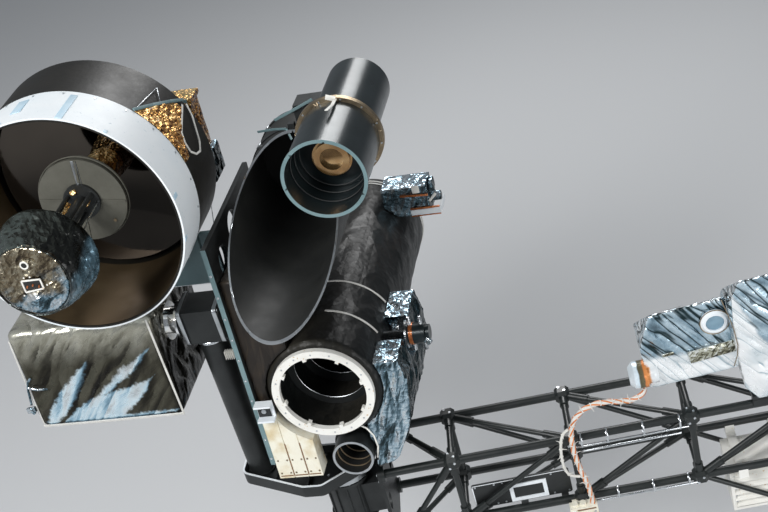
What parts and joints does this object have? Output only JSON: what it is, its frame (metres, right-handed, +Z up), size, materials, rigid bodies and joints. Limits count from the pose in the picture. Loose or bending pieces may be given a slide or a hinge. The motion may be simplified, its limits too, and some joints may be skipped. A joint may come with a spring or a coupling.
{
  "type": "space probe instrument platform",
  "caption": "Two-axis pointed instrument platform on the end of a black truss boom, with a large mirror telescope, cameras with hoods, and a film-wrapped particle instrument.",
  "frame": {"origin": "middle of the boom's root plate, on its outer mounting face", "axes": "+X out of the root face along the boom, away from the platform; +Z up, along the azimuth axis; -Y to the front, where the instruments look"},
  "size_m": [2.0502, 1.0425, 1.5412],
  "materials": {
    "bare_metal": "satin",
    "black_blanket": "satin",
    "black_tube": "satin",
    "cream_paint": "matte",
    "dark_metal": "satin",
    "gold_film": "crinkled film",
    "grey_blast": "sandblasted",
    "harness_wrap": "matte",
    "lens_glass": "polished",
    "mirror_glass": "polished",
    "olive_blanket": "glossy crinkled film",
    "silver_film": "crinkled film",
    "white_paint": "matte"
  },
  "bodies": {
    "boom": {"aperture_ring": "white_paint", "azimuth_bracket": "dark_metal", "azimuth_housing": "dark_metal", "boom_battens": "black_tube", "chord_lower_back": "black_tube", "chord_lower_front": "black_tube", "chord_upper_back": "black_tube", "chord_upper_front": "black_tube", "connector_bracket": "bare_metal", "end_plate": "dark_metal", "flat_diagonals": "black_tube", "harness_loop": "harness_wrap", "instrument_base": "dark_metal", "instrument_body": "silver_film", "instrument_head": "silver_film", "instrument_knob": "bare_metal", "louver_box": "white_paint", "louver_struts": "dark_metal", "root_plate": "dark_metal", "side_diagonals": "black_tube", "signal_harness": "harness_wrap", "window_box": "dark_metal", "window_frame": "white_paint"},
    "yoke": {"elevation_housing": "dark_metal", "turntable": "bare_metal", "yoke_arm": "dark_metal", "yoke_beam": "dark_metal"},
    "platform": {"baffle_disc": "grey_blast", "bench_plate": "dark_metal", "blanket_skirt": "silver_film", "camera_baffles": "dark_metal", "camera_bands": "white_paint", "camera_lens": "lens_glass", "camera_ring": "cream_paint", "cap_neck": "dark_metal", "channel_bracket": "dark_metal", "electronics_blanket": "olive_blanket", "elevation_shaft": "bare_metal", "gold_box": "gold_film", "hood_body": "dark_metal", "hood_straps": "dark_metal", "link_plate": "dark_metal", "mirror_barrel": "dark_metal", "mirror_tube": "gold_film", "narrow_camera": "black_blanket", "oval_hood": "dark_metal", "photometer": "dark_metal", "photometer_bracket": "dark_metal", "primary_mirror": "mirror_glass", "radiator": "cream_paint", "rear_box": "silver_film", "scope_saddle": "dark_metal", "secondary_cap": "black_blanket", "side_actuator": "bare_metal", "side_cover": "black_blanket", "small_box": "silver_film", "white_band": "white_paint", "wide_bracket": "dark_metal", "wide_camera": "dark_metal", "wide_lens": "lens_glass"}
  },
  "joints": [
    {"name": "azimuth", "type": "hinge", "parent": "boom", "child": "yoke", "pos_m": [-1.355, 0, 0.093], "axis": [0, 0, 1], "range_deg": [-30, 60]},
    {"name": "elevation", "type": "hinge", "parent": "yoke", "child": "platform", "pos_m": [-1.56682, 0.03345, 0.6051], "axis": [0.9877, -0.1564, 0], "range_deg": [-20, 60]}
  ]
}
